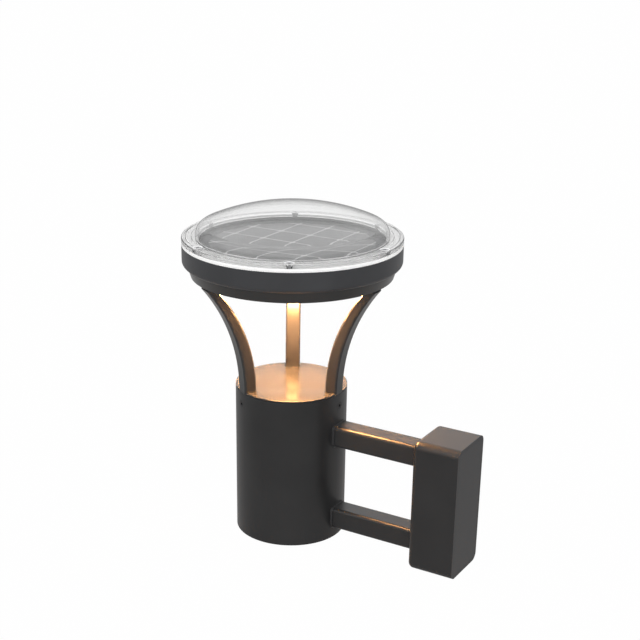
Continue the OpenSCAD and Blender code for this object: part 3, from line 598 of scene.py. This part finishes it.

# %% [markdown]
# ## The white lines between the cells
#
# Through the dome the gaps between the cells show as bright lines that cross
# in small diamonds. They could be painted on the cells as a pattern. They are
# thin bars in the gaps instead, one set each way, with a square turned by 45
# degrees on each crossing, because they are real shapes on the light: bars
# stay crisp from near.
# Each set lies a few thousandths of a millimetre above the last, so that no
# two faces share one place.

# %% Define flat bars
def slabs(name, centres, halves, turn=0.0):
    """Flat bars, each with eight corners: its centre plus and minus its half
    sizes, turned by 'turn' about the upright."""
    corners = [(x, y, z) for z in (-1, 1) for x, y in ((-1, -1), (1, -1), (1, 1), (-1, 1))]
    sign = np.array(corners, float)
    x, y, z = np.moveaxis(sign[None] * np.asarray(halves, float)[:, None], -1, 0)
    c, s = math.cos(turn), math.sin(turn)
    points = np.stack([x * c - y * s, x * s + y * c, z], -1)
    points = points + np.asarray(centres, float)[:, None]
    box = np.array([(3, 2, 1, 0), (4, 5, 6, 7), (0, 1, 5, 4),
                    (1, 2, 6, 5), (2, 3, 7, 6), (3, 0, 4, 7)])
    faces = box[None] + 8 * np.arange(len(points))[:, None, None]
    return surface(name, points, faces.reshape(-1, 4), smooth=False)


rib_z = (cell_low.z + cell_high.z) / 2
rib_half = (cell_high.z - cell_low.z) / 2 + 0.05 * mm
print("each bar is", round(2 * rib_half / mm, 2), "mm high")

# %% Lay the white lines
pitch = 34 * mm
field_r = 82.3 * mm  # the lines end just past this radius, under the ring
under_ring = 1 * mm
line_half, cross_lift = 0.8 * mm, 0.005 * mm
gap_at = pitch * np.arange(-2, 3)
half_length = np.sqrt(field_r ** 2 - gap_at ** 2) + under_ring
zero = 0 * gap_at
rib_at = zero + rib_z
halves = np.stack([zero + line_half, half_length, zero + rib_half], -1)
lines_long = slabs("cell_lines_long", np.stack([gap_at, zero + axis_y, rib_at], -1), halves)
cross_at = np.stack([zero, gap_at + axis_y, rib_at + cross_lift], -1)
lines_cross = slabs("cell_lines_cross", cross_at, halves[:, [1, 0, 2]])
white_lines = finish("white panel line", (0.93, 0.93, 0.93), 0.35, drift=0.02)
for piece in (lines_long, lines_cross):
    piece.data.materials.append(white_lines)
    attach(piece, "body")
print(len(gap_at), "lines each way")

# %% Lay the diamonds
diamond_half, diamond_lift = 2.0 * mm, 0.01 * mm
gx, gy = (grid.ravel() for grid in np.meshgrid(gap_at, gap_at))
inside = np.hypot(gx, gy) < field_r
gx, gy = gx[inside], gy[inside]
diamond_at = np.stack([gx, gy + axis_y, 0 * gx + rib_z + diamond_lift], -1)
diamond_halves = np.broadcast_to([diamond_half, diamond_half, rib_half], (len(gx), 3))
diamonds = slabs("cell_diamonds", diamond_at, diamond_halves, math.pi / 4)
diamonds.data.materials.append(white_lines)
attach(diamonds, "body")
print(len(gx), "diamonds between the cells")

# %% [markdown]
# ## The ring round the cells
#
# A dark grey ring frames the cells and hides the ends of the lines. It could
# be a flat painted band. It is a low lathe form with a sloped inner edge,
# because that edge catches the light and parts the ring from the cells.

# %% Shape the ring
ring_low, ring_top = cell_high.z - 0.05 * mm, cell_high.z + 0.5 * mm
ring_out = sheet_r - 0.15 * mm
slope_r, slope_z = field_r + 0.5 * mm, ring_top - 0.25 * mm
ring_outline = [(field_r, ring_low), (ring_out, ring_low), (ring_out, ring_top),
                (slope_r, ring_top), (field_r, slope_z)]
panel_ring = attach(lathe("panel_ring", ring_outline), "body")
ring_grey = finish("grey panel ring", (0.18, 0.183, 0.19), 0.35, drift=0.05)
panel_ring.data.materials.append(ring_grey)
print("the ring is", round((ring_out - field_r) / mm, 1), "mm wide")

# %% [markdown]
# ## The seal under the cover
#
# A pale rubber seal lies between the cover's flange and the head, and shows as
# a milled white line above the dark band. The lowest millimetre and a half of
# its outer edge is toothed. Above the teeth a smooth lip reaches up into a
# rebate of the flange, and an inner rim stands inside the flange's inner edge.
#
# Each tooth could be a block of its own, but the seal is one moulding. So its
# outline is carried round the axis in one go, and a wave pushes the edge's
# lowest points in and out 300 times. The seal's top stays a hair below the
# clear flange: where white touches glass, light is caught between them and the
# flange turns grey. Lip and rim press a hair into the flange's sides, as soft
# rubber does.

# %% Set the seal's sizes
dome_r = 95.15 * mm
flange_top = flange_z + 6.5 * mm
lip_in, lip_top = 107.2 * mm, flange_z + 2.6 * mm
hair = 0.04 * mm
tooth_count, tooth_depth, tooth_phase = 300, 0.7 * mm, 0.785
tooth_top, smooth_from = flange_z + 0.4 * mm, flange_z + 0.6 * mm
seal_in, seal_out, foot_out = dome_r - 0.28 * mm, flange_r - 0.1 * mm, flange_r - 0.9 * mm
rim_top = flange_z + 2.3 * mm
tooth_pitch = 2 * math.pi * flange_r / tooth_count
print(tooth_count, "teeth, one every", round(tooth_pitch / mm, 2), "mm")

# %% Shape the seal
def teeth(a):
    """0 on a tooth and 1 in the notch beside it: a square wave of the turn.
    The lathe takes two points of each, so the tooth's sides slope."""
    return (np.sin(tooth_count * a + tooth_phase) < 0) * 1.0


seal_outline = [
    (seal_in, seal_z, 0), (foot_out, seal_z, 0),
    (seal_out, seal_z, tooth_depth), (seal_out, tooth_top, tooth_depth),
    (seal_out, smooth_from, 0), (seal_out, lip_top - 0.3 * mm, 0),
    (flange_r - 0.5 * mm, lip_top, 0), (lip_in - hair, lip_top, 0),
    (lip_in - hair, flange_z - hair, 0), (dome_r + hair, flange_z - hair, 0),
    (dome_r + hair, rim_top, 0), (seal_in, rim_top, 0),
]
cover_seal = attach(lathe("cover_seal", seal_outline, turns=4 * tooth_count, wave=teeth), "body")
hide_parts("cover_gasket")
seal_white = finish("pale seal", (0.96, 0.96, 0.955), 0.45, drift=0.02)
cover_seal.data.materials.append(seal_white)
print("the seal has", len(cover_seal.data.polygons), "faces")

# %% [markdown]
# ## The dome
#
# The cover is one clear moulding: a shallow dome with a rounded shoulder on a
# thick flange. A flattened half ball would come close, but then the bend of
# its shoulder and the height of its crown couldn't be set one by one. So the
# dome's outline is a small arc for the shoulder that runs on smoothly into a
# wide arc for the crown, once for the outside and once for the inside of a
# thin wall. Dome and flange are two pieces here, because the thin dome is
# slightly smoky at its edge and carries a painted dark shade there, and the
# flange is water clear.

# %% Work out the dome's arcs
wall = 2.3 * mm
knee, knee_z = 10.8 * mm, flange_top + 1.8 * mm
apex_z = cover_high.z
rise = apex_z - knee_z
crown = ((dome_r - knee) ** 2 + rise ** 2 - knee ** 2) / (2 * (rise - knee))
lean = math.atan2(knee_z - (apex_z - crown), dome_r - knee)
print("crown radius", round(crown, 4), "m, shoulder bends by", round(math.degrees(lean)), "degrees")

# %% Shape the dome
bend_points = 24


def dome_line(inset):
    """Radius and height along the dome from its shoulder's start to near the
    apex: an arc of radius 'knee' for the shoulder, then one of radius 'crown'
    about the axis that goes on in the same direction, both moved in by
    'inset'."""
    a = np.linspace(0, lean, bend_points)
    b = np.linspace(lean, math.pi / 2 - pole_r / crown, bend_points * 2)[1:]
    small, wide = knee - inset, crown - inset
    shoulder = np.stack([dome_r - knee + small * np.cos(a), knee_z + small * np.sin(a)], -1)
    top = np.stack([wide * np.cos(b), apex_z - crown + wide * np.sin(b)], -1)
    return np.concatenate([shoulder, top])


foot_z = flange_top + 0.02 * mm
foot = [(dome_r - wall, foot_z), (dome_r, foot_z)]
dome_outline = np.concatenate([foot, dome_line(0), dome_line(wall)[::-1]])
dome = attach(lathe("cover_dome", dome_outline, turns=320), "body")
print("the dome's wall is", round(wall / mm, 1), "mm thick")

# %% [markdown]
# ## The flange
#
# The flange is the thick outer part of the cover, which the screws press down
# on the seal. It has two fine grooves on top, a rounded outer edge and a
# rebate below for the lip of the seal. They could be cut and rounded
# afterwards, but as they run all the way round, they are simply drawn in the
# outline of a lathe form. The outline's arcs come from a small helper, for the
# reason that a maker uses a compass: an arc needs only a centre and a radius.

# %% Shape the flange
def arc(centre_r, centre_z, radius, start, end, points):
    """Points of an arc about (centre_r, centre_z) from 'start' to 'end'
    degrees: the centre plus the radius times cosine and sine of the turn."""
    a = np.radians(np.linspace(start, end, points))
    return list(zip(centre_r + radius * np.cos(a), centre_z + radius * np.sin(a)))


edge_round, groove_round = 1.2 * mm, 0.45 * mm
grooves = (104.6 * mm, 99.0 * mm)
rebate_top = lip_top + 0.05 * mm
flange_outline = [(dome_r - wall, lip_top), (dome_r, lip_top), (dome_r, flange_z),
                  (lip_in, flange_z), (lip_in, rebate_top), (flange_r, rebate_top)]
flange_outline += arc(flange_r - edge_round, flange_top - edge_round, edge_round, 0, 90, 7)
for groove_r in grooves:
    flange_outline += arc(groove_r, flange_top, groove_round, 0, -180, 5)
flange_outline += [(dome_r - wall, flange_top)]
flange = lathe("cover_flange", flange_outline, turns=288)
print("the flange's outline has", len(flange_outline), "points")

# %% [markdown]
# ## The screws and their rings
#
# Six screws with cone heads hold the cover, sunk in the flange, and a thin
# white ring lines the mouth of each hole. One screw could be made and copied
# five times as objects, but one piece with six screws is easier to carry
# along. The helper takes an outline round each of the six places at once. It
# makes the rings, the screws, and in the next step the cutters for the holes.

# %% Define a shape at the six screw places
screw_count, first_screw = 6, 90
hole_r = flange_r - 7 * mm


def six_round(name, outline, turns=36):
    """Carry a closed outline of (radius, height) points round each of the six
    screw places, which lie at equal turns on a circle about the axis."""
    r, z = np.asarray(outline, float).T
    a = np.linspace(0, 2 * np.pi, turns, endpoint=False)[:, None]
    around = np.radians(first_screw + 360 / screw_count * np.arange(screw_count))
    points = np.stack([r * np.cos(a), r * np.sin(a), z + 0 * a * r], -1)[None]
    centres = np.stack([hole_r * np.cos(around), hole_r * np.sin(around) + axis_y, 0 * around], -1)
    one = quads(turns, len(r), close_u=True, close_v=True)
    faces = one[None] + turns * len(r) * np.arange(screw_count)[:, None, None]
    piece = surface(name, points + centres[:, None, None], faces.reshape(-1, 4))
    piece.data.set_sharp_from_angle(angle=crease)
    return piece


print("the screws stand on a circle of radius", round(hole_r / mm, 2), "mm")

# %% Shape the white rings
mouth_r, hole_rim = 4.1 * mm, 5.0 * mm
ring_r, ring_face = hole_rim - 0.1 * mm, flange_top - 0.03 * mm
screw_ring_outline = [
    (mouth_r - 0.1 * mm, flange_top - 0.55 * mm), (ring_r, ring_face),
    (mouth_r + 0.1 * mm, ring_face), (mouth_r - 0.15 * mm, flange_top - 0.4 * mm),
]
screw_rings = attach(six_round("screw_rings", screw_ring_outline), "body")
ring_white = finish("white screw ring", (0.93, 0.93, 0.93), 0.4, drift=0.02)
screw_rings.data.materials.append(ring_white)
print(screw_count, "rings, each", round(2 * ring_r / mm, 1), "mm across")

# %% Shape the screws
screw_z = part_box("cover_screws")[0].z
shank_r, socket_r, head_r = 1.6 * mm, 1.5 * mm, 3.85 * mm
head_top, head_edge = flange_top - 0.3 * mm, flange_top - 0.45 * mm
cone_top, cone_foot = flange_top - 0.75 * mm, flange_z + 0.7 * mm
socket_floor, socket_tip = flange_top - 1.8 * mm, flange_top - 2.2 * mm
screw_outline = [
    (pole_r, screw_z), (shank_r, screw_z), (shank_r, cone_foot), (head_r, cone_top),
    (head_r, head_edge), (head_r - 0.2 * mm, head_top), (socket_r, head_top),
    (socket_r, socket_floor), (pole_r, socket_tip),
]
cone_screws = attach(six_round("cone_screws", screw_outline), "body")
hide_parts("cover_screws")
screw_steel = finish("satin steel screw", (0.42, 0.42, 0.43), 0.35, drift=0.05, metal=0.5)
cone_screws.data.materials.append(screw_steel)
print(screw_count, "screws, each", round((head_top - screw_z) / mm, 1), "mm long")

# %% [markdown]
# ## The holes in the flange
#
# Each screw sits in a hole that widens to a sunk mouth, and through the clear
# flange the whole hole shows. The flange's points could be laid out round each
# hole, but then it would no longer be a simple lathe form. A boolean that
# takes six turned cutters out of the flange finds the new edges by itself. Its
# result is kept as the flange's mesh, and the cutters are thrown away.

# %% Cut the screw holes
def carve(piece, cutter):
    """Cut the cutter out of the piece, keep the result as its mesh, and throw
    the cutter away."""
    modifier = piece.modifiers.new("cut", "BOOLEAN")
    modifier.operation = "DIFFERENCE"
    modifier.solver = "EXACT"
    modifier.object = cutter
    graph = bpy.context.evaluated_depsgraph_get()
    carved = bpy.data.meshes.new_from_object(piece.evaluated_get(graph))
    piece.modifiers.clear()
    piece.data = carved
    bpy.data.objects.remove(cutter)
    piece.data.set_sharp_from_angle(angle=crease)


neck_r, neck_top = 1.9 * mm, flange_z + 0.8 * mm
mouth_z, rim_z = flange_top - 0.6 * mm, flange_top - 0.01 * mm
below, above = flange_z - 1 * mm, flange_top + 1 * mm  # past both faces of the flange
hole_outline = [
    (pole_r, below), (neck_r, below), (neck_r, neck_top), (mouth_r, mouth_z),
    (hole_rim, rim_z), (hole_rim, above), (pole_r, above),
]
carve(flange, six_round("cutters", hole_outline))
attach(flange, "body")
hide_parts("clear_cover")
print("flange has", len(flange.data.polygons), "faces")

# %% [markdown]
# ## The clear plastic
#
# A see-through mix of colours would be quick, but then nothing behind the
# cover would bend. Here the light really passes through the plastic: both of
# its faces bend it, as on the real cover, and a very low ripple keeps them
# from looking like cut glass. The dome also swallows some light along its way
# through the wall, and a dark tint painted where the wall is seen edge-on
# draws the dome's dark outline as painted shade. The flange bends the light
# less, which keeps it nearly as bright as in the photograph.

# %% Make the clear plastic
ripple_height = 0.000003


def clear(name, bend=1.5, density=0.0, edge=1.0):
    """Clear plastic: light passes and bends. A density above 0 swallows some
    light on the way, and an edge below 1 is painted shade: a dark tint where
    it is seen edge-on."""
    mat = bpy.data.materials.new(name)
    mat.use_nodes = True
    tree = mat.node_tree
    shader = tree.nodes["Principled BSDF"]
    shader.inputs["Base Color"].default_value = (1, 1, 1, 1)
    shader.inputs["Roughness"].default_value = 0.0
    shader.inputs["Transmission Weight"].default_value = 1.0
    shader.inputs["IOR"].default_value = bend
    # Painted shade: a dark tint where the wall is seen edge-on draws a dark outline.
    if edge < 1:
        facing = tree.nodes.new("ShaderNodeLayerWeight")
        untinted, painted_shade_stop = (0.80, (1, 1, 1)), (0.90, (edge, edge, edge))
        painted_outline_shade = colour_ramp(tree, facing, "Facing", untinted, painted_shade_stop)
        link(tree, painted_outline_shade, 0, shader, "Base Color")
    raise_surface(tree, shader, noise(tree, 28.0), ripple_height)
    if density:
        smoke = tree.nodes.new("ShaderNodeVolumeAbsorption")
        smoke.inputs["Color"].default_value = (0.5, 0.5, 0.5, 1)
        smoke.inputs["Density"].default_value = density
        link(tree, smoke, 0, tree.nodes["Material Output"], "Volume")
    return mat


# The dome's edge of 0.12 paints a dark shade along its outline.
dome.data.materials.append(clear("smoky clear dome", density=80.0, edge=0.12))
flange.data.materials.clear()  # the boolean may leave an empty slot
flange.data.materials.append(clear("clear flange", bend=1.33))
print("cover is clear, with ripples of", round(ripple_height / mm, 4), "mm")
